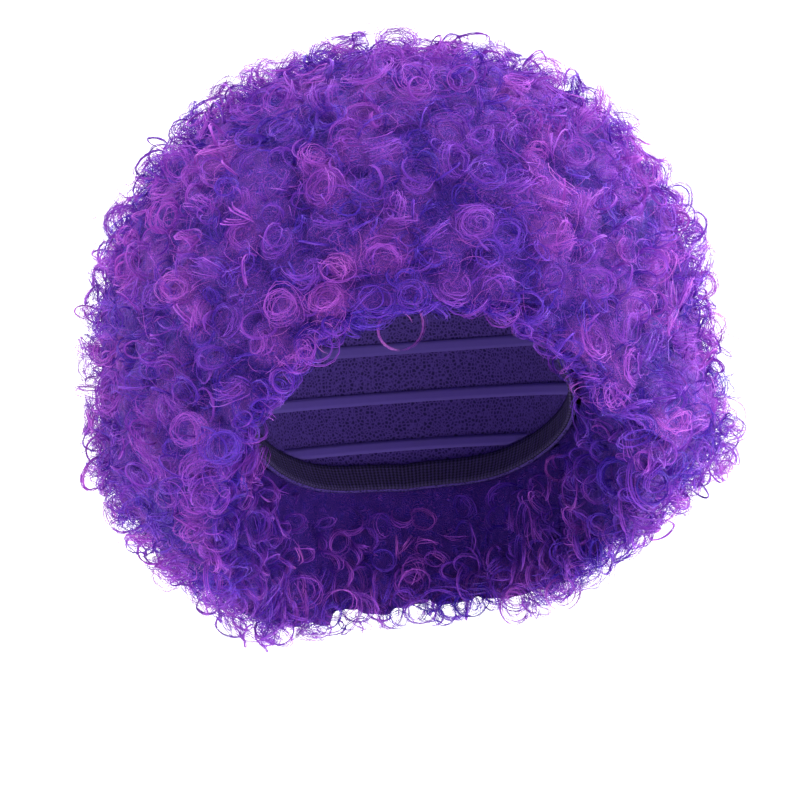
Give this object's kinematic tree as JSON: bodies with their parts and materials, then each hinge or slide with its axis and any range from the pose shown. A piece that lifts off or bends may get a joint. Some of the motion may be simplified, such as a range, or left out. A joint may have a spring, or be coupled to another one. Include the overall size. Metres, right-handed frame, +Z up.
{
  "type": "curly clown wig",
  "caption": "Large round wig of tight purple corkscrew curls on a stretch cap, open at the face and neck, worn over the whole head.",
  "frame": {"origin": "where the inside of the cap sits on the crown of the head", "axes": "+Z up; the wearer faces -Y; +X is to the viewer's right when the wig is seen from the front"},
  "size_m": [0.3065, 0.2953, 0.2754],
  "materials": {
    "net": "stretch net cap",
    "elastic": "woven elastic",
    "hair": "crimped synthetic fibre"
  },
  "bodies": {
    "root": {"cap": "net", "edge_band": "elastic", "crown_tuft": "hair", "hair_weft_1": "hair", "hair_weft_2": "hair", "hair_weft_3": "hair", "hair_weft_4": "hair", "hair_weft_5": "hair", "hair_weft_6": "hair", "hair_weft_7": "hair", "hair_weft_8": "hair"}
  },
  "joints": []
}
